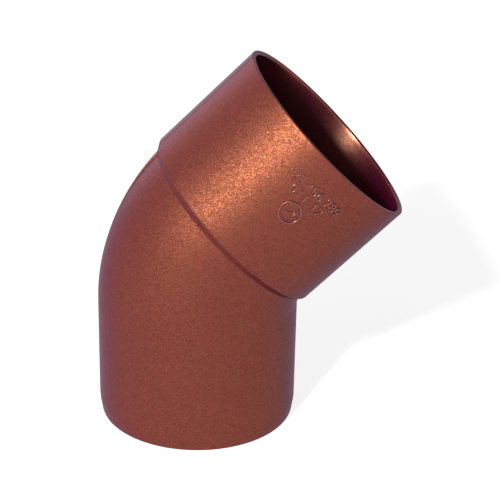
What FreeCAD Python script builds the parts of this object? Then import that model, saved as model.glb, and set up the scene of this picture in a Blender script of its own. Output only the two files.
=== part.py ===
import FreeCAD, Part

import math
import os

from FreeCAD import Placement, Rotation, Vector

# Downspout elbow
# One moulded piece of plastic pipe that turns a round downspout through
# 45 degrees. Its plain end, the spigot, points straight down and slips into
# the next pipe's socket. Its wide end, the socket, points up and forward and
# takes the plain end of the pipe above, which comes to rest on a ledge
# inside. Water enters at the socket and leaves at the spigot.
#
# Frame: the origin is the centre of the spigot's lower end, +Z runs up the
# spigot, the bend turns towards +X, and the plane Y = 0 is the mirror plane,
# where the two halves of the mould met. All sizes are in millimetres.

# Driving dimensions
PIPE_DIAMETER = 80.0     # outside of the spigot, and of every pipe it joins
WALL = 2.0               # wall of the spigot, the bend and the socket
BEND_ANGLE = 45.0        # degrees from the spigot's axis to the socket's
BEND_RADIUS = 53.0       # of the bend's centre line
SPIGOT_LENGTH = 47.0     # straight part, from its end to the bend
SPIGOT_LEAD_LENGTH = 5.0  # height of the slight taper that eases it in
SPIGOT_LEAD_DEPTH = 0.8  # how far that taper draws the wall in
SOCKET_CLEARANCE = 0.2   # play between the socket and a pipe, on the radius
SOCKET_DEPTH = 49.0      # from the ledge that stops the pipe to the mouth
SHOULDER_LENGTH = 2.6    # of the cone that widens the bend to the socket
SHOULDER_SETBACK = 1.5   # from the cone's wide end up to the ledge
MOUTH_LEAD = 0.5         # chamfer inside the mouth
EDGE_ROUND = 0.5         # rounding of the moulded outer edges
EMBED = 0.5              # share of the wall that a joined solid reaches into

# Sizes that follow
PIPE_RADIUS = PIPE_DIAMETER / 2
BORE_RADIUS = PIPE_RADIUS - WALL
SPIGOT_TIP_RADIUS = PIPE_RADIUS - SPIGOT_LEAD_DEPTH
SOCKET_BORE_RADIUS = PIPE_RADIUS + SOCKET_CLEARANCE
SOCKET_RADIUS = SOCKET_BORE_RADIUS + WALL
PAST_END = WALL          # how far a cutting solid runs out of an open end


def revolved(corners):
    """A solid turned about Z from corners (radius, height, rounding).

    The corners go round the half section in order. A corner with a rounding
    is replaced by an arc of that radius that touches both of its sides.
    """
    count = len(corners)
    points = [Vector(r, 0, h) for r, h, _ in corners]
    starts, ends, arcs = [], [], []
    for i, (_, _, rounding) in enumerate(corners):
        here = points[i]
        back = (points[i - 1] - here).normalize()
        ahead = (points[(i + 1) % count] - here).normalize()
        half = back.getAngle(ahead) / 2
        cut = rounding / math.tan(half)
        starts.append(here + back * cut)
        ends.append(here + ahead * cut)
        if rounding:
            to_centre = (back + ahead).normalize()
            reach = rounding / math.sin(half) - rounding
            middle = here + to_centre * reach
            arcs.append(Part.Arc(starts[i], middle, ends[i]).toShape())
        else:
            arcs.append(None)
    edges = []
    for i in range(count):
        if arcs[i]:
            edges.append(arcs[i])
        edges.append(Part.makeLine(ends[i], starts[(i + 1) % count]))
    face = Part.Face(Part.Wire(edges))
    return face.revolve(Vector(0, 0, 0), Vector(0, 0, 1), 360)


def spigot(radius, tip_radius, lead, start):
    """The straight run from its lower end up to the bend."""
    return revolved([
        (0, start, 0),
        (tip_radius, start, 0),
        (radius, start + lead, 0),
        (radius, SPIGOT_LENGTH, 0),
        (0, SPIGOT_LENGTH, 0),
    ])


def bend(radius):
    """A round section swung through the bend about a level axis."""
    ring = Part.makeCircle(radius, Vector(0, 0, SPIGOT_LENGTH), Vector(0, 0, 1))
    centre = Vector(BEND_RADIUS, 0, SPIGOT_LENGTH)
    disc = Part.Face(Part.Wire([ring]))
    return disc.revolve(centre, Vector(0, 1, 0), BEND_ANGLE)


def at_socket(solid):
    """Set a solid turned about Z on the socket's axis, its zero at the ledge."""
    angle = math.radians(BEND_ANGLE)
    ledge = Vector(
        BEND_RADIUS * (1 - math.cos(angle)),
        0,
        SPIGOT_LENGTH + BEND_RADIUS * math.sin(angle),
    )
    turn = Rotation(Vector(0, 1, 0), BEND_ANGLE)
    placed = solid.copy()
    placed.Placement = Placement(ledge, turn)
    return placed


def socket_body():
    """The socket's outside: shoulder cone, straight wall and rim."""
    rise = SOCKET_RADIUS - PIPE_RADIUS
    slope = SHOULDER_LENGTH / rise
    inside = WALL * EMBED
    foot = -SHOULDER_SETBACK - SHOULDER_LENGTH - inside * slope
    return at_socket(revolved([
        (0, foot, 0),
        (PIPE_RADIUS - inside, foot, 0),
        (SOCKET_RADIUS, -SHOULDER_SETBACK, EDGE_ROUND),
        (SOCKET_RADIUS, SOCKET_DEPTH, EDGE_ROUND),
        (0, SOCKET_DEPTH, 0),
    ]))


def socket_space():
    """The room that the pipe above slips into, down to the ledge."""
    return at_socket(revolved([
        (0, 0, 0),
        (SOCKET_BORE_RADIUS, 0, 0),
        (SOCKET_BORE_RADIUS, SOCKET_DEPTH - MOUTH_LEAD, 0),
        (SOCKET_BORE_RADIUS + MOUTH_LEAD, SOCKET_DEPTH, 0),
        (SOCKET_BORE_RADIUS + MOUTH_LEAD, SOCKET_DEPTH + PAST_END, 0),
        (0, SOCKET_DEPTH + PAST_END, 0),
    ]))


def elbow():
    """The whole moulding: outside shapes joined, then the waterway cut."""
    outside = spigot(PIPE_RADIUS, SPIGOT_TIP_RADIUS, SPIGOT_LEAD_LENGTH, 0)
    outside = outside.fuse([bend(PIPE_RADIUS), socket_body()]).removeSplitter()
    run = spigot(BORE_RADIUS, BORE_RADIUS, PAST_END, -PAST_END)
    waterway = run.fuse([bend(BORE_RADIUS), socket_space()])
    return outside.cut(waterway).removeSplitter()


def report(name, shape):
    """Print what was made, with its size, as a plain line."""
    box = shape.optimalBoundingBox(False, False)
    print(
        f"{name}: {len(shape.Solids)} solid, valid {shape.isValid()}, "
        f"{shape.Volume / 1000:.1f} cm3, "
        f"x {box.XMin:.2f} to {box.XMax:.2f}, "
        f"y {box.YMin:.2f} to {box.YMax:.2f}, "
        f"z {box.ZMin:.2f} to {box.ZMax:.2f} mm"
    )


os.makedirs("parts", exist_ok=True)
body = elbow().Solids[0]
report("elbow", body)
body.exportStep("parts/elbow.step")
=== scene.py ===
# %% [markdown]
# # A downspout elbow in copper-coloured plastic
#
# A downspout carries rain from the gutter to the ground, and an elbow turns
# it. This one is a single moulding: a plain spigot below, a bend, and a wider
# socket above that takes the next pipe. The colour is in the plastic itself,
# a deep red with fine golden flakes in it, which together look like copper.
#
# The lesson builds the visible surface over the CAD model of the part. The
# CAD fixes every size; here come the soft edges, the line where the two
# halves of the mould met, the raised marks, the flakes and the light.

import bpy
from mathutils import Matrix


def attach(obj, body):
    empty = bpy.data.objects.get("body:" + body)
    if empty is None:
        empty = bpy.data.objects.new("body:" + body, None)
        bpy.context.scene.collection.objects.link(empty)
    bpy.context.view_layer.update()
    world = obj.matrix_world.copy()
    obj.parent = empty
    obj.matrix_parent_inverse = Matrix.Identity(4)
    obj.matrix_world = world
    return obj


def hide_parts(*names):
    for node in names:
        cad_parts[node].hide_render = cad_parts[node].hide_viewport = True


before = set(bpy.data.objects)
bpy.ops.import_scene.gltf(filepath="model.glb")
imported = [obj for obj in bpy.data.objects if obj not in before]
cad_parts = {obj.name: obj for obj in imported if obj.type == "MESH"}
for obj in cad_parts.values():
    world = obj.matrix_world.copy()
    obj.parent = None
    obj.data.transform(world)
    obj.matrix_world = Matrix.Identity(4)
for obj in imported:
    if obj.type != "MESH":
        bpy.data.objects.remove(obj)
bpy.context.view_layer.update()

# %% [markdown]
# ## The sizes
#
# A fitting is drawn from a few sizes: the pipe it joins, the wall, the bend
# and the depth of the socket. They are the CAD model's own, written in
# millimetres because that is how a maker reads them. Blender works in metres,
# so every surface is multiplied by MM when it becomes a mesh.

# %% Sizes of the fitting
import math

import bpy
import numpy as np
from mathutils import Matrix, Vector

MM = 0.001
BEND_ANGLE = math.radians(45)
BEND_RADIUS = 53.0
SPIGOT_LENGTH = 47.0
SPIGOT_LEAD = 5.0
SPIGOT_R = 40.0
SPIGOT_TIP_R = 39.2
BORE_R = 38.0
SOCKET_BORE_R = 40.2
SOCKET_R = 42.2
SOCKET_DEPTH = 49.0
SHOULDER_LENGTH = 2.6
SHOULDER_SETBACK = 1.5
MOUTH_LEAD = 0.5

BEND_END = SPIGOT_LENGTH + BEND_RADIUS * BEND_ANGLE
MOUTH = BEND_END + SOCKET_DEPTH
SHOULDER_TOP = BEND_END - SHOULDER_SETBACK
SHOULDER_FOOT = SHOULDER_TOP - SHOULDER_LENGTH
print(f"centre line {MOUTH:.1f} mm from the spigot's end to the mouth")

# %% [markdown]
# ## The centre line
#
# A pipe bend is a round section carried along a line: straight up, round an
# arc, then straight again. Everything on the fitting can be placed by how far
# along that line it lies, how far from it, and at which angle round it. So
# the line comes first, with two directions at every point: along the pipe,
# and towards the outside of the bend.

# %% Follow the centre line
def centre_line(along):
    """Points on the pipe's axis, `along` millimetres from the spigot's end.

    Up to the bend the point climbs straight up. In the bend it has turned by
    the angle (along - start) / radius, and past it the turn stays at 45
    degrees while the point runs on in a straight line. Returns the points,
    the direction along the pipe and the direction to the outside of the bend.
    """
    along = np.asarray(along, float)
    turn = np.clip((along - SPIGOT_LENGTH) / BEND_RADIUS, 0, BEND_ANGLE)
    before = np.minimum(along, SPIGOT_LENGTH)
    after = np.maximum(along - BEND_END, 0)
    zero = np.zeros_like(turn)
    forward = np.stack([np.sin(turn), zero, np.cos(turn)], -1)
    outward = np.stack([-np.cos(turn), zero, np.sin(turn)], -1)
    arc = np.stack([
        BEND_RADIUS * (1 - np.cos(turn)), zero, BEND_RADIUS * np.sin(turn)
    ], -1)
    start = np.stack([zero, zero, before], -1)
    return start + arc + forward * after[..., None], forward, outward


def on_pipe(along, angle, distance):
    """The point at `distance` from the axis and `angle` round it.

    Angle 0 is the back of the bend, a quarter turn on is the side that
    faces the viewer, and half a turn is the throat of the bend.
    """
    point, _, outward = centre_line(along)
    side = np.array([0.0, -1.0, 0.0])
    spoke = np.cos(angle)[..., None] * outward + np.sin(angle)[..., None] * side
    return point + spoke * distance[..., None]


mouth_centre = centre_line(np.array(MOUTH))[0]
print("centre of the mouth, mm:", mouth_centre.round(2))

# %% [markdown]
# ## The wall's outline
#
# Cut the wall along its length and it is a long thin shape: up the outside,
# over the rim, down the inside to the ledge that stops the pipe, and down to
# the spigot's end. The corners of a moulding are never quite sharp, because
# the mould itself was cut with a round tool, and a soft corner is what
# catches the light. So the outline is a list of corners, each with a radius.

# %% Draw the outline of the wall
def rounded_outline(corners, step):
    """A closed outline through corners (along, distance, rounding, steps).

    Each corner becomes an arc that touches both of its sides: it starts and
    ends at rounding / tan(half the corner's angle) from the corner, and its
    centre is on the corner's bisector. Between the arcs come points evenly
    spaced, at most `step` apart.
    """
    pts = np.array([c[:2] for c in corners], float)
    back = np.roll(pts, 1, 0) - pts
    ahead = np.roll(pts, -1, 0) - pts
    back /= np.linalg.norm(back, axis=1, keepdims=True)
    ahead /= np.linalg.norm(ahead, axis=1, keepdims=True)
    half = np.arccos(np.clip((back * ahead).sum(1), -1, 1)) / 2
    pieces = []
    for i, (_, _, rounding, count) in enumerate(corners):
        bisector = back[i] + ahead[i]
        bisector /= np.linalg.norm(bisector)
        centre = pts[i] + bisector * rounding / math.sin(half[i])
        start = pts[i] + back[i] * rounding / math.tan(half[i]) - centre
        end = pts[i] + ahead[i] * rounding / math.tan(half[i]) - centre
        a0, a1 = math.atan2(start[1], start[0]), math.atan2(end[1], end[0])
        swing = (a1 - a0 + math.pi) % (2 * math.pi) - math.pi
        a = a0 + swing * np.linspace(0, 1, count)
        pieces.append(centre + rounding * np.stack([np.cos(a), np.sin(a)], 1))
    outline = []
    for piece, following in zip(pieces, pieces[1:] + pieces[:1]):
        gap = following[0] - piece[-1]
        n = max(int(math.ceil(np.hypot(*gap) / step)), 1)
        share = np.linspace(0, 1, n + 1)[1:-1, None]
        outline += [piece, piece[-1] + share * gap]
    return np.concatenate(outline)


outline = rounded_outline([
    (0, SPIGOT_TIP_R, 0.3, 5),
    (SPIGOT_LEAD, SPIGOT_R, 8.0, 5),
    (SHOULDER_FOOT, SPIGOT_R, 0.5, 5),
    (SHOULDER_TOP, SOCKET_R, 0.7, 6),
    (MOUTH, SOCKET_R, 0.3, 7),
    (MOUTH, SOCKET_BORE_R + MOUTH_LEAD, 0.15, 4),
    (MOUTH - MOUTH_LEAD, SOCKET_BORE_R, 0.5, 4),
    (BEND_END, SOCKET_BORE_R, 0.3, 4),
    (BEND_END, BORE_R, 0.4, 5),
    (0, BORE_R, 0.3, 4),
], step=1.6)
print(f"{len(outline)} points round the wall's outline")

# %% [markdown]
# ## The mould line and the mould's own unevenness
#
# The fitting was moulded between two half moulds that met in the plane of the
# bend. Where they met, a trace of plastic crept between them and left a fine
# ridge along the back and along the throat. It stands a little higher just
# below the shoulder. Away from the ridge the wall isn't perfectly true either:
# as plastic cools it shrinks unevenly, and long shallow waves of a few
# hundredths of a millimetre are enough to bend a highlight.

# %% Height of the mould line
LINE_HEIGHT = 0.16
LINE_HALF_WIDTH = 0.22
FLASH_HEIGHT = 0.45
FLASH_HALF_WIDTH = 0.3
FLASH_REACH = 9.0
FLASH_OVERRUN = 1.6
FLASH_RUNOUT = 0.8


def mould_line(along, angle, distance):
    """Height of the ridge: a bell curve across the plane of the bend.

    Its height is h * exp(-(d / w)^2), where d is the distance from the
    plane. Towards the shoulder, on the back only, h grows with a second
    bell, FLASH_REACH long. That flash runs FLASH_OVERRUN past the shoulder's
    foot and comes down over its last FLASH_RUNOUT.
    """
    d = distance * np.sin(angle)
    ridge = LINE_HEIGHT * np.exp(-((d / LINE_HALF_WIDTH) ** 2))
    below = SHOULDER_FOOT - along
    flash = FLASH_HEIGHT * np.exp(-((np.maximum(below, 0) / FLASH_REACH) ** 2))
    flash *= np.exp(-((d / FLASH_HALF_WIDTH) ** 2)) * (np.cos(angle) > 0)
    flash *= np.clip((below + FLASH_OVERRUN) / FLASH_RUNOUT, 0, 1)
    return ridge + flash


print(f"mould line {LINE_HEIGHT} mm high, flash {FLASH_HEIGHT} mm")

# %% Waves of the cooled wall
WAVE_HEIGHT = 0.02
WAVES = [  # share of the height, waves round the pipe, stretch along it, phase
    (0.5, 3, 17.0, 0.4),
    (0.3, 5, -11.0, 2.1),
    (0.2, 2, 6.3, 4.0),
]


def cooling_waves(along, angle):
    """Sine waves that run round and along the pipe, added together.

    Each is share * sin(n * angle + along / stretch + phase), so it comes
    back n times round the pipe and every 2 pi times stretch along it.
    """
    wave = 0.0
    for share, rounds, stretch, phase in WAVES:
        wave = wave + share * np.sin(rounds * angle + along / stretch + phase)
    return WAVE_HEIGHT * wave


print(f"{len(WAVES)} waves, {WAVE_HEIGHT} mm high together")

# %% [markdown]
# ## The wall as one closed surface
#
# The outline runs one way and the turn round the pipe the other, which makes
# a grid that closes on itself both ways, like a ring. One grid therefore
# makes the outside, the rim, the inside and the ledge with no seam. The
# columns are packed closer near the mould line, because a ridge half a
# millimetre wide needs several of them to be round.

# %% Space the columns round the pipe
EVEN_COLUMNS = 240
BESIDE_LINE = [0.08, 0.16, 0.24, 0.33, 0.45, 0.62]
CLEARING = 1.3


def columns():
    """Angles round the pipe: evenly spaced ones, and close ones at the line.

    The close ones lie BESIDE_LINE millimetres from the mould line, on both
    sides of it. Even ones that come nearer to the line than CLEARING times
    the farthest close one make room for them.
    """
    beside = np.asarray(BESIDE_LINE) / SPIGOT_R
    close = np.concatenate([beside, -beside, [0.0]])
    even = np.arange(EVEN_COLUMNS) * 2 * math.pi / EVEN_COLUMNS
    clear = np.abs(np.sin(even)) > math.sin(beside.max()) * CLEARING
    angles = np.concatenate([even[clear], close, close + math.pi])
    return np.sort(np.mod(angles, 2 * math.pi))


ANGLES = columns()
print(f"{len(ANGLES)} columns")

# %% Turn a grid of points into a mesh
def grid_mesh(name, points):
    """A mesh from rows of points that close on themselves both ways.

    Point (i, j) joins (i, j + 1), (i + 1, j + 1) and (i + 1, j), and the
    last row and column join the first, so no edge is open.
    """
    rows, cols = points.shape[:2]
    index = np.arange(rows * cols).reshape(rows, cols)
    right = np.roll(index, -1, 1)
    up = np.roll(index, -1, 0)
    corner = np.roll(right, -1, 0)
    faces = np.stack([index, right, corner, up], -1).reshape(-1, 4)
    return make_mesh(name, points.reshape(-1, 3), faces)


def make_mesh(name, vertices, faces):
    """Put vertices in millimetres and faces into a smooth mesh object."""
    mesh = bpy.data.meshes.new(name)
    mesh.from_pydata((vertices * MM).tolist(), [], faces.tolist())
    mesh.update()
    mesh.polygons.foreach_set("use_smooth", np.ones(len(mesh.polygons), bool))
    piece = bpy.data.objects.new(name, mesh)
    bpy.context.scene.collection.objects.link(piece)
    return piece


# %% [markdown]
# ## Where the shoulder meets the bend
#
# The socket is turned about its own straight axis, and so is the sloping
# shoulder below it, but the pipe that they meet is still bending. Their seam
# is therefore no flat ring: on the back it lies a little farther from the
# bend's end than in the throat. Working out that seam first lets one grid run
# over bend, shoulder and socket without a hidden edge: the bend's rows stop
# on the seam, the shoulder is a ruled strip from the seam to the socket's
# lower edge, and the socket goes on from there.

# %% Find the seam
SEAM_ROUNDS = 40


def seam(angle):
    """How far before the bend's end the shoulder starts, and the turn there.

    A point of the bend that lies `back` before its end has still to turn by
    asin(back / (bend radius + r cos(angle))), which gives its distance from
    the socket's axis. The shoulder reaches that distance at another `back`.
    Putting one into the other again and again settles on the seam.
    """
    reach = BEND_RADIUS + SPIGOT_R * np.cos(angle)
    slope = (SOCKET_R - SPIGOT_R) / SHOULDER_LENGTH
    back = np.full(np.shape(angle), SHOULDER_SETBACK + SHOULDER_LENGTH)
    for _ in range(SEAM_ROUNDS):
        still = np.arcsin(back / reach)
        distance = np.hypot(reach * np.cos(still) - BEND_RADIUS, SPIGOT_R * np.sin(angle))
        back = SHOULDER_SETBACK + (SOCKET_R - distance) / slope
    return back, BEND_ANGLE - still


on_back, in_throat = seam(np.array(0.0))[0], seam(np.array(math.pi))[0]
print(f"shoulder starts {on_back:.2f} mm before the bend's end at the back, "
      f"{in_throat:.2f} in the throat")

# %% Set a point on the bend, the shoulder or the socket
MID_WALL = BORE_R + 1.0


def on_socket_axis(past, angle, distance):
    """A point round the socket's straight axis, `past` beyond the bend's end."""
    end, forward, outward = centre_line(np.array(BEND_END))
    side = np.array([0.0, -1.0, 0.0])
    spoke = np.cos(angle)[..., None] * outward + np.sin(angle)[..., None] * side
    return end + forward * past[..., None] + spoke * distance[..., None]


def on_wall(along, angle, distance):
    """The wall's own point: on the bend, the shoulder or the socket.

    Below the seam `along` is squeezed so that the outline's foot lands on the
    seam. From there to the shoulder's top the point is (1 - k) times the
    seam's point plus k times the top's, and whatever the rounding or the
    relief adds to the straight slope is put on along the spoke.
    """
    outside = (distance > MID_WALL) & (along < BEND_END)
    back, turn = seam(angle)
    bent = outside & (along > SPIGOT_LENGTH) & (along <= SHOULDER_FOOT)
    squeeze = BEND_RADIUS * turn / (SHOULDER_FOOT - SPIGOT_LENGTH)
    place = np.where(bent, SPIGOT_LENGTH + (along - SPIGOT_LENGTH) * squeeze, along)
    points = on_pipe(place, angle, distance)

    k = np.clip((along - SHOULDER_FOOT) / SHOULDER_LENGTH, 0, 1)
    slope_line = SPIGOT_R + k * (SOCKET_R - SPIGOT_R)
    low = on_pipe(SPIGOT_LENGTH + BEND_RADIUS * turn, angle, SPIGOT_R + distance - slope_line)
    top = np.full(np.shape(angle), -SHOULDER_SETBACK)
    high = on_socket_axis(top, angle, SOCKET_R + distance - slope_line)
    strip = low + k[..., None] * (high - low)
    straight = on_socket_axis(along - BEND_END, angle, distance)
    on_strip = outside & (along > SHOULDER_FOOT) & (along <= SHOULDER_TOP)
    on_straight = outside & (along > SHOULDER_TOP)
    points = np.where(on_strip[..., None], strip, points)
    return np.where(on_straight[..., None], straight, points)


print(f"points more than {MID_WALL:.0f} mm from the axis are outside")

# %% [markdown]
# ## The elbow
#
# The mould line and the waves belong to the outside only, so they fade away
# at the rims. The inside was shaped by a smoother steel core, so its faces
# take a finish of their own: the elbow has two materials, and each face says
# which one it wears.

# %% Make the elbow
OUTER_LINE = np.array([
    (0, SPIGOT_TIP_R), (SPIGOT_LEAD, SPIGOT_R), (SHOULDER_FOOT, SPIGOT_R),
    (SHOULDER_TOP, SOCKET_R), (MOUTH, SOCKET_R),
])
RELIEF_FADE = 0.15


def outside_share(along, distance):
    """1 on the outside of the wall, fading to 0 within RELIEF_FADE of it."""
    outer = np.interp(along, OUTER_LINE[:, 0], OUTER_LINE[:, 1])
    return np.clip(1 - (outer - distance) / RELIEF_FADE, 0, 1)


along = outline[:, 0][:, None]
distance = outline[:, 1][:, None]
along, distance, angle = np.broadcast_arrays(along, distance, ANGLES[None, :])
relief = mould_line(along, angle, distance) + cooling_waves(along, angle)
surface = distance + outside_share(along, distance) * relief
elbow = grid_mesh("elbow_wall", on_wall(along, angle, surface))
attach(elbow, "root")
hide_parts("elbow")
print("the elbow's grid, rows and columns:", along.shape)

# %% Tell the inside's faces from the outside's
LEDGE_CORNER = 0.5
INNER_SLACK = 0.1

# At the ledge the bore widens, over a corner of LEDGE_CORNER. A row of faces is
# inside where both of its edges lie on the bore, give or take INNER_SLACK.
row_along, row_distance = outline.T
bore_there = np.where(row_along > BEND_END - LEDGE_CORNER, SOCKET_BORE_R, BORE_R)
inner_row = row_distance < bore_there + INNER_SLACK
inner_row &= np.roll(inner_row, -1)
inner_face = np.repeat(inner_row, len(ANGLES))
elbow.data.polygons.foreach_set("material_index", inner_face.astype(np.int32))
print(f"elbow: {len(inner_face)} faces, {inner_face.sum()} of them inside")

# %% [markdown]
# ## Raised marks
#
# A moulder sets a small round insert into the mould, a date dial: a ring with
# ticks for the months and an arrow that is turned to the right one. Beside it
# stand the months as plain numbers, one to twelve. Marks cut into a mould
# come out raised, as low ribs with steep sides and soft edges. So each stroke
# is a line drawn on the wall, and the rib is a squared oval carried along it,
# with its lower half sunk in the wall.

# %% Draw digits as strokes
def arc(cx, cy, rx, ry, start, stop, count=14):
    """Points on an oval: centre plus (rx cos a, ry sin a), a in degrees."""
    a = np.radians(np.linspace(start, stop, count))
    return np.stack([cx + rx * np.cos(a), cy + ry * np.sin(a)], 1)


def line(*pts):
    """Straight strokes through the given points."""
    return np.array(pts, float)


# Each digit fills a box 0.6 wide and 1 high, from its lower left corner.
DIGITS = {
    "0": [arc(0.3, 0.5, 0.3, 0.5, 90, 450, 25)],
    "1": [line((0.1, 0.78), (0.34, 1.0), (0.34, 0.0))],
    "2": [np.concatenate([arc(0.3, 0.7, 0.29, 0.3, 160, -35), line((0, 0), (0.6, 0))])],
    "3": [np.concatenate([arc(0.28, 0.75, 0.25, 0.25, 150, -80),
                          arc(0.28, 0.27, 0.3, 0.27, 80, -150)])],
    "4": [line((0.45, 0.0), (0.45, 1.0), (0.0, 0.3), (0.6, 0.3))],
    "5": [np.concatenate([line((0.55, 1.0), (0.1, 1.0), (0.05, 0.56)),
                          arc(0.27, 0.32, 0.32, 0.32, 120, -150)])],
    "6": [np.concatenate([arc(0.6, 0.34, 0.6, 0.66, 100, 170, 8),
                          arc(0.3, 0.3, 0.3, 0.3, 170, 530, 22)])],
    "7": [line((0.0, 1.0), (0.6, 1.0), (0.2, 0.0))],
    "8": [arc(0.3, 0.76, 0.23, 0.24, -90, 270, 20), arc(0.3, 0.26, 0.3, 0.26, 90, 450, 24)],
    "9": [np.concatenate([arc(0.3, 0.7, 0.3, 0.3, 0, 360, 22),
                          arc(0.0, 0.66, 0.6, 0.66, 0, -80, 8)])],
}


def written(text, height, pitch):
    """The strokes of a row of digits, side by side, `pitch` heights apart."""
    rows = []
    for i, letter in enumerate(text):
        for stroke in DIGITS[letter]:
            rows.append((stroke + (i * pitch, 0)) * height)
    return rows


def placed(strokes, across, up, turn=0.0):
    """Strokes turned by `turn` degrees and moved to a place on the wall."""
    c, s = math.cos(math.radians(turn)), math.sin(math.radians(turn))
    spin = np.array([[c, s], [-s, c]])
    return [stroke @ spin + (across, up) for stroke in strokes]


print(f"{len(DIGITS)} digits, {sum(map(len, DIGITS.values()))} strokes")

# %% Find a place on the socket, and walk along a stroke
def on_socket(across, up, lift):
    """A place on the socket's wall, from its middle line facing the viewer.

    `across` is the way round the wall, so the angle is a quarter turn plus
    across / radius; `up` is the height above the ledge inside.
    """
    angle = math.pi / 2 + across / SOCKET_R
    return on_pipe(BEND_END + up, angle, SOCKET_R + lift)


def evenly(stroke, step, fewest=3):
    """The stroke's line cut into even steps by its length, three or more."""
    lengths = np.hypot(*np.diff(stroke, axis=0).T)
    reach = np.concatenate([[0], np.cumsum(lengths)])
    count = max(int(round(reach[-1] / step)), fewest) + 1
    at = np.linspace(0, reach[-1], count)
    return np.stack([np.interp(at, reach, stroke[:, k]) for k in (0, 1)], 1)


print("middle of the socket's side, mm:",
      on_socket(0.0, np.array(SOCKET_DEPTH / 2), np.array(0.0)).round(2))

# %% Carry a rib along a stroke
RIB_STEP = 0.16
RIB_SIDES = 14
SQUARENESS = 0.6


def squared_oval():
    """The rib's section: cos and sin to the power SQUARENESS, signs kept.

    A power below 1 makes the top flatter and the sides steeper.
    """
    a = np.arange(RIB_SIDES) * 2 * math.pi / RIB_SIDES
    c, s = np.cos(a), np.sin(a)
    return np.sign(c) * np.abs(c) ** SQUARENESS, np.sign(s) * np.abs(s) ** SQUARENESS


def rib(stroke, width, height):
    """Vertices and faces of a low rib along a stroke on the wall.

    The squared oval is scaled to half the width and to the height. Towards
    each end it shrinks as a circle does, sqrt(1 - x^2), and closes on one
    point. Along the wall a stroke's x runs round the socket and its y runs
    up the pipe.
    """
    path = evenly(stroke, RIB_STEP)
    closed = np.hypot(*(path[0] - path[-1])) < RIB_STEP / 2
    if closed:
        path = path[:-1]
        along_path = np.roll(path, -1, 0) - np.roll(path, 1, 0)
        size = np.ones(len(path))
    else:
        along_path = np.gradient(path, axis=0)
        steps = np.arange(len(path))
        to_end = np.minimum(steps, steps[::-1]) * RIB_STEP
        size = np.sqrt(np.clip(1 - (1 - np.minimum(to_end / (width / 2), 1)) ** 2, 0, 1))
    along_path /= np.linalg.norm(along_path, axis=1, keepdims=True)
    normal = np.stack([-along_path[:, 1], along_path[:, 0]], 1)
    across, above = squared_oval()
    side = across[None, :] * (width / 2) * size[:, None]
    lift = above[None, :] * height * size[:, None]
    xy = path[:, None, :] + normal[:, None, :] * side[..., None]
    points = on_socket(xy[..., 0], xy[..., 1], lift)
    index = np.arange(points[..., 0].size).reshape(len(path), RIB_SIDES)
    turned = np.roll(index, -1, 1)
    ahead = np.roll(index, -1, 0)
    quads = np.stack([index, ahead, np.roll(ahead, -1, 1), turned], -1)
    if not closed:
        quads = quads[:-1]
    return points.reshape(-1, 3), quads.reshape(-1, 4)


def marks(name, strokes, width, height):
    """One mesh of all the ribs of a mark."""
    vertices, faces, start = [], [], 0
    for stroke in strokes:
        v, f = rib(stroke, width, height)
        vertices.append(v)
        faces.append(f + start)
        start += len(v)
    piece = make_mesh(name, np.concatenate(vertices), np.concatenate(faces))
    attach(piece, "root")
    print(f"{name}: {len(strokes)} strokes, {start} points")
    return piece


# %% Set the dial on the socket
DIAL_AT = (-0.9, 25.5)
DIAL_RADIUS = 4.2
DIAL_TURN = -60
DIAL_RIB = (0.8, 0.5)
TICK_ENDS = (0.72, 0.86)
ARROW_TAIL, ARROW_TIP = (0, -2.1), (0, 2.3)
ARROW_BARBS = (-1.0, 1.1), (1.0, 1.1)

ticks = [
    DIAL_RADIUS * np.array([[end * math.cos(a), end * math.sin(a)] for end in TICK_ENDS])
    for a in np.radians(np.arange(0, 360, 30))
]
ring = arc(0, 0, DIAL_RADIUS, DIAL_RADIUS, 0, 360, 90)
arrow = [line(ARROW_TAIL, ARROW_TIP), line(ARROW_BARBS[0], ARROW_TIP, ARROW_BARBS[1])]
dial = placed([ring] + ticks + arrow, *DIAL_AT, turn=DIAL_TURN)
date_dial = marks("date_dial", dial, *DIAL_RIB)

# %% Set the month numbers beside it
NUMBER_HEIGHT = 3.3
NUMBER_PITCH = 2.7
NUMBER_RIB = (0.62, 0.48)
NUMBERS_AT = {  # where each group starts: across the wall and up the pipe
    "123": (-13.4, 35.8), "456": (-4.0, 35.8), "789": (5.4, 35.8),
    "10": (-10.4, 31.4), "11": (-4.6, 31.4), "12": (3.0, 31.4),
}

months = []
for group, place in NUMBERS_AT.items():
    months += placed(written(group, NUMBER_HEIGHT, NUMBER_PITCH / NUMBER_HEIGHT), *place)
month_numbers = marks("month_numbers", months, *NUMBER_RIB)

# %% [markdown]
# ## The plastic
#
# Fine golden flakes are kneaded into deep red plastic. Each lies nearly flat
# in the skin, with a small lean of its own, so the wall is grainy: under the
# lamp one clump of flakes flashes and the next stays dull, and away from it
# they all look alike. The flakes mirror the lamp, so the highlight is golden,
# while the pigment between them scatters red to all sides. The whole finish
# could be painted on as a picture, but then the grain would not move with
# the light. So one 3-D pattern of fine cells tells flakes from pigment, a
# coarser one gives each clump its own tone and lean, and a red sheen adds
# the pigment's soft scatter.

# %% Two helpers for shader nodes
def feed(tree, node, inputs):
    """Give each input a number, a colour or another node's output."""
    for key, value in inputs.items():
        if isinstance(value, bpy.types.NodeSocket):
            tree.links.new(value, node.inputs[key])
        else:
            node.inputs[key].default_value = value


def add_node(tree, kind, inputs, **settings):
    """A new node of a kind, with its settings made and its inputs fed."""
    node = tree.nodes.new("ShaderNode" + kind)
    for name, value in settings.items():
        setattr(node, name, value)
    feed(tree, node, inputs)
    return node


# %% Tell flakes from pigment
PIGMENT = (0.3581, 0.0026, 0.07)
FLAKE_COLOUR = (0.1702, 0.0572, 0.0252)
METAL_SHARE = 0.9435
FLAKE_SIZE = 0.06


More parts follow.
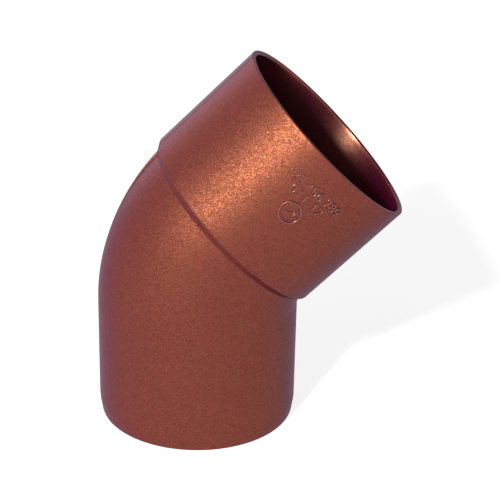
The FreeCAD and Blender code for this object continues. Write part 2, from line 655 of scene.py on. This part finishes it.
def cells(tree, size):
    """Three random numbers for every cell of about `size` millimetres."""
    place = add_node(tree, "TexCoord", {}).outputs["Object"]
    pattern = add_node(tree, "TexVoronoi", {"Vector": place, "Scale": 1 / (size * MM)})
    return pattern.outputs["Color"]


def first_of(tree, numbers):
    """The first of a cell's three numbers."""
    return add_node(tree, "SeparateColor", {0: numbers}).outputs[0]


def flakes(tree):
    """How metallic each fine cell is, and its colour.

    A cell whose number is below METAL_SHARE is a flake, fully metallic and
    of FLAKE_COLOUR. The others are pigment and not metallic at all.
    """
    number = first_of(tree, cells(tree, FLAKE_SIZE))
    metallic = add_node(tree, "Math", {0: number, 1: METAL_SHARE}, operation="LESS_THAN")
    colour = add_node(tree, "Mix", {
        "Factor": metallic.outputs[0], "A": (*PIGMENT, 1), "B": (*FLAKE_COLOUR, 1),
    }, data_type="RGBA")
    return metallic.outputs[0], colour.outputs["Result"]


print(f"{METAL_SHARE:.0%} of the cells are flakes, {FLAKE_SIZE} mm wide")

# %% Give each clump its tone and its lean
GRAIN_SIZE = 0.32
GRAIN_TONE = 0.6
GRAIN_TILT = 0.15


def toned(tree, colour, clump):
    """The colour times 1 + GRAIN_TONE (n - 1/2), n the clump's first number."""
    strength = add_node(tree, "MapRange", {
        "Value": first_of(tree, clump),
        "To Min": 1 - GRAIN_TONE / 2, "To Max": 1 + GRAIN_TONE / 2,
    })
    scaled = add_node(tree, "VectorMath", {0: colour, "Scale": strength.outputs[0]},
                      operation="SCALE")
    return scaled.outputs[0]


def leaning(tree, clump, tilt):
    """The wall's normal with tilt (n - 1/2) added along each axis.

    The three n are the clump's numbers, and the sum is made one unit long.
    """
    lean = add_node(tree, "VectorMath", {
        0: clump, 1: (tilt, tilt, tilt), 2: (-tilt / 2, -tilt / 2, -tilt / 2),
    }, operation="MULTIPLY_ADD")
    flat = add_node(tree, "NewGeometry", {}).outputs["Normal"]
    leaned = add_node(tree, "VectorMath", {0: flat, 1: lean.outputs[0]}, operation="ADD")
    unit = add_node(tree, "VectorMath", {0: leaned.outputs[0]}, operation="NORMALIZE")
    return unit.outputs[0]


print(f"clumps of {GRAIN_SIZE} mm, {GRAIN_TONE:.0%} apart in tone")

# %% [markdown]
# ## One plastic, three finishes
#
# The wall isn't equally smooth everywhere. The core that shapes the inside
# of a mould is polished, and the marks were cut with a fresh tool. So in
# both places the same plastic is smoother and its flakes lean less, with a
# thin clear gloss on top. Everything else is the same in all three.

# %% Mix the copper plastic
GLOSS_ROUGHNESS = 0.4202
SKIN_LEVEL = 0.0
EDGE_TINT = (0.4881, 0.6056, 0.7685)
SHEEN_WEIGHT = 0.101
SHEEN_ROUGHNESS = 1.0
SHEEN_TINT = (0.5386, 0.0, 0.2107)
CORE_ROUGHNESS = 0.27
CORE_TILT = 0.03
CORE_COAT = 0.6
CORE_COAT_ROUGHNESS = 0.25
MARK_COAT = 1.0
MARK_COAT_ROUGHNESS = 0.1


def copper_plastic(name, roughness, tilt, coat, coat_roughness):
    """Pigment and flakes in clumps, under a sheen and perhaps a clear coat."""
    mat = bpy.data.materials.new(name)
    mat.use_nodes = True
    tree = mat.node_tree
    metallic, colour = flakes(tree)
    clump = cells(tree, GRAIN_SIZE)
    feed(tree, tree.nodes["Principled BSDF"], {
        "Metallic": metallic,
        "Base Color": toned(tree, colour, clump),
        "Normal": leaning(tree, clump, tilt),
        "Roughness": roughness,
        "Specular IOR Level": SKIN_LEVEL,
        "Specular Tint": (*EDGE_TINT, 1),
        "Coat Weight": coat,
        "Coat Roughness": coat_roughness,
        "Sheen Weight": SHEEN_WEIGHT,
        "Sheen Roughness": SHEEN_ROUGHNESS,
        "Sheen Tint": (*SHEEN_TINT, 1),
    })
    return mat


plastic = copper_plastic("copper_plastic", GLOSS_ROUGHNESS, GRAIN_TILT, 0.0, 0.0)
core_side = copper_plastic("copper_plastic_core_side", CORE_ROUGHNESS, CORE_TILT,
                           CORE_COAT, CORE_COAT_ROUGHNESS)
polished = copper_plastic("copper_plastic_polished", CORE_ROUGHNESS, CORE_TILT,
                          MARK_COAT, MARK_COAT_ROUGHNESS)
elbow.data.materials.append(plastic)
elbow.data.materials.append(core_side)
date_dial.data.materials.append(polished)
month_numbers.data.materials.append(polished)
print("materials:", plastic.name, core_side.name, polished.name)

# %% [markdown]
# ## The floor
#
# The elbow was photographed on white. The floor is a white sheet that keeps a
# faint shadow. A sheet bright enough to look white by lamplight would throw
# that light back at the elbow, so only the camera and reflections see it
# glow, and to the lamps it is plain white.

# %% Tell what is looking
def seen_directly(tree):
    """1 for rays from the camera, from a reflection or through glass."""
    rays = add_node(tree, "LightPath", {}).outputs
    first = add_node(tree, "Math", {0: rays["Is Camera Ray"], 1: rays["Is Glossy Ray"]},
                     operation="MAXIMUM")
    second = add_node(tree, "Math", {0: first.outputs[0], 1: rays["Is Transmission Ray"]},
                      operation="MAXIMUM")
    return second.outputs[0]


# %% Lay the floor
FLOOR_HALF = 6.0
FLOOR_WHITE = 0.8
SHADOW_STRENGTH = 0.35
GLOW_NEAR = 0.86
GLOW_FAR = 1.0
GLOW_REACH = (0.2, 1.2)


def white_sheet():
    """The floor's material: plain white, with a glow where it is looked at.

    What the camera sees is a faint diffuse white, which takes the shadow,
    plus a glow. The glow rises from GLOW_NEAR to GLOW_FAR with the distance
    from the elbow in metres, so the sheet meets the white room unseen.
    """
    mat = bpy.data.materials.new("white_sheet")
    mat.use_nodes = True
    tree = mat.node_tree
    tree.nodes.remove(tree.nodes["Principled BSDF"])
    matt = add_node(tree, "BsdfDiffuse", {"Color": (FLOOR_WHITE, FLOOR_WHITE, FLOOR_WHITE, 1)})
    faint = add_node(tree, "BsdfDiffuse", {
        "Color": (SHADOW_STRENGTH, SHADOW_STRENGTH, SHADOW_STRENGTH, 1),
    })
    place = add_node(tree, "TexCoord", {}).outputs["Object"]
    away = add_node(tree, "VectorMath", {0: place}, operation="LENGTH")
    rise = add_node(tree, "MapRange", {
        "Value": away.outputs["Value"],
        "From Min": GLOW_REACH[0], "From Max": GLOW_REACH[1],
        "To Min": GLOW_NEAR, "To Max": GLOW_FAR,
    })
    glow = add_node(tree, "Emission", {"Strength": rise.outputs[0]})
    both = add_node(tree, "AddShader", {0: faint.outputs[0], 1: glow.outputs[0]})
    shown = add_node(tree, "MixShader", {
        0: seen_directly(tree), 1: matt.outputs[0], 2: both.outputs[0],
    })
    feed(tree, tree.nodes["Material Output"], {"Surface": shown.outputs[0]})
    return mat


corners = [(-1, -1), (1, -1), (1, 1), (-1, 1)]
sheet = bpy.data.meshes.new("floor")
sheet.from_pydata([(FLOOR_HALF * x, FLOOR_HALF * y, 0) for x, y in corners], [], [(0, 1, 2, 3)])
sheet.materials.append(white_sheet())
floor = bpy.data.objects.new("floor", sheet)
bpy.context.scene.collection.objects.link(floor)
print(f"floor {2 * FLOOR_HALF:.0f} m wide")

# %% [markdown]
# ## The light
#
# The room is white to the camera and to reflections but dim as a lamp. High
# up on the right it falls off to black, as a studio does above its white
# walls. The open socket looks there, so its inside stays dark. A small soft
# key lamp, high in front and a little to the left, makes the highlight and
# the sharp shadow inside the socket. A large weak lamp fills the left, and
# another from behind draws the pale bands along the left edges.

# %% Light the room
ROOM_LIGHT = 0.08
DIM_CORNER = (0.342, 0.0, 0.940)
CORNER_STARTS = 0.5
CORNER_FULL = 0.8


def white_room():
    """A world that is white all round, with one dim corner overhead.

    How far a direction points into the corner is its dot product with
    DIM_CORNER, the unit vector to it. Up to CORNER_STARTS the world is white,
    and from there it fades to black at CORNER_FULL.
    """
    world = bpy.data.worlds.new("white_room")
    bpy.context.scene.world = world
    world.use_nodes = True
    tree = world.node_tree
    tree.nodes.clear()
    direction = add_node(tree, "TexCoord", {}).outputs["Generated"]
    depth = add_node(tree, "VectorMath", {0: direction, 1: DIM_CORNER}, operation="DOT_PRODUCT")
    fade = add_node(tree, "ValToRGB", {0: depth.outputs["Value"]})
    near, far = fade.color_ramp.elements
    near.position, near.color = CORNER_STARTS, (1, 1, 1, 1)
    far.position, far.color = CORNER_FULL, (0, 0, 0, 1)
    white = add_node(tree, "Background", {"Color": fade.outputs[0]})
    dim = add_node(tree, "Background", {"Color": (1, 1, 1, 1), "Strength": ROOM_LIGHT})
    shown = add_node(tree, "MixShader", {
        0: seen_directly(tree), 1: dim.outputs[0], 2: white.outputs[0],
    })
    add_node(tree, "OutputWorld", {"Surface": shown.outputs[0]})


white_room()
print(f"room light {ROOM_LIGHT}")

# %% Hang the lamps
LAMP_TARGET = (0.02, 0, 0.075)
LAMPS = {  # azimuth and elevation in degrees, metres away, metres wide, watts
    "key_lamp": ((-26.2, 32.2), 1.4, 0.1, 19.5),
    "fill_lamp": ((-42.0377, 37.6734), 1.6, 1.6, 5.0),
    "edge_lamp": ((-150.0, 15.0), 1.6, 1.2, 5.0),
}


def aimed(azimuth, elevation):
    """The unit vector towards an azimuth and elevation given in radians.

    Azimuth 0 is the viewer's side, and it grows to the right.
    """
    level = math.cos(elevation)
    return Vector((math.sin(azimuth) * level, -math.cos(azimuth) * level, math.sin(elevation)))


for name, (aim, away, wide, watts) in LAMPS.items():
    towards = aimed(*map(math.radians, aim))
    light = bpy.data.lights.new(name, "AREA")
    light.shape = "DISK"
    light.size = wide
    light.energy = watts
    lamp = bpy.data.objects.new(name, light)
    lamp.location = Vector(LAMP_TARGET) + towards * away
    lamp.rotation_euler = towards.to_track_quat("Z", "Y").to_euler()
    bpy.context.scene.collection.objects.link(lamp)
    print(f"{name}: {watts} W")

# %% [markdown]
# ## The camera
#
# The photograph looks down at about 24 degrees with a long lens. The camera
# was found by fitting the elbow's own outline to the photograph, so it is
# given by its place and its three directions. It stands AWAY millimetres back
# from the point that it looks at, and a small SHIFT sideways and upwards puts
# the elbow at the same place in the picture.

# %% Place the camera
AZIMUTH, ELEVATION, ROLL = map(math.radians, (-2.817, 24.449, 1.195))
LOOKS_AT = (20, 0, 60)
AWAY = 627.437
SHIFT = (-0.856, -8.095)
FOCUS_PX = 1564.178
PHOTO_PX = 500
SENSOR = 36.0

back = aimed(AZIMUTH, ELEVATION)
level = Vector((math.cos(AZIMUTH), math.sin(AZIMUTH), 0))
over = back.cross(level)
right = level * math.cos(ROLL) + over * math.sin(ROLL)
up = over * math.cos(ROLL) - level * math.sin(ROLL)
place = Vector(LOOKS_AT) + back * AWAY - right * SHIFT[0] - up * SHIFT[1]

lens = bpy.data.cameras.new("camera")
lens.sensor_fit = "HORIZONTAL"
lens.sensor_width = SENSOR
lens.lens = FOCUS_PX * SENSOR / PHOTO_PX
lens.clip_start = 0.01
lens.clip_end = 50
camera = bpy.data.objects.new("camera", lens)
turn = Matrix([right, up, back]).transposed().to_4x4()
camera.matrix_world = Matrix.Translation(place * MM) @ turn
bpy.context.scene.collection.objects.link(camera)
bpy.context.scene.camera = camera
print("camera at, mm:", [round(x, 1) for x in place])

# %% Finish
bpy.context.scene.view_settings.view_transform = "Standard"
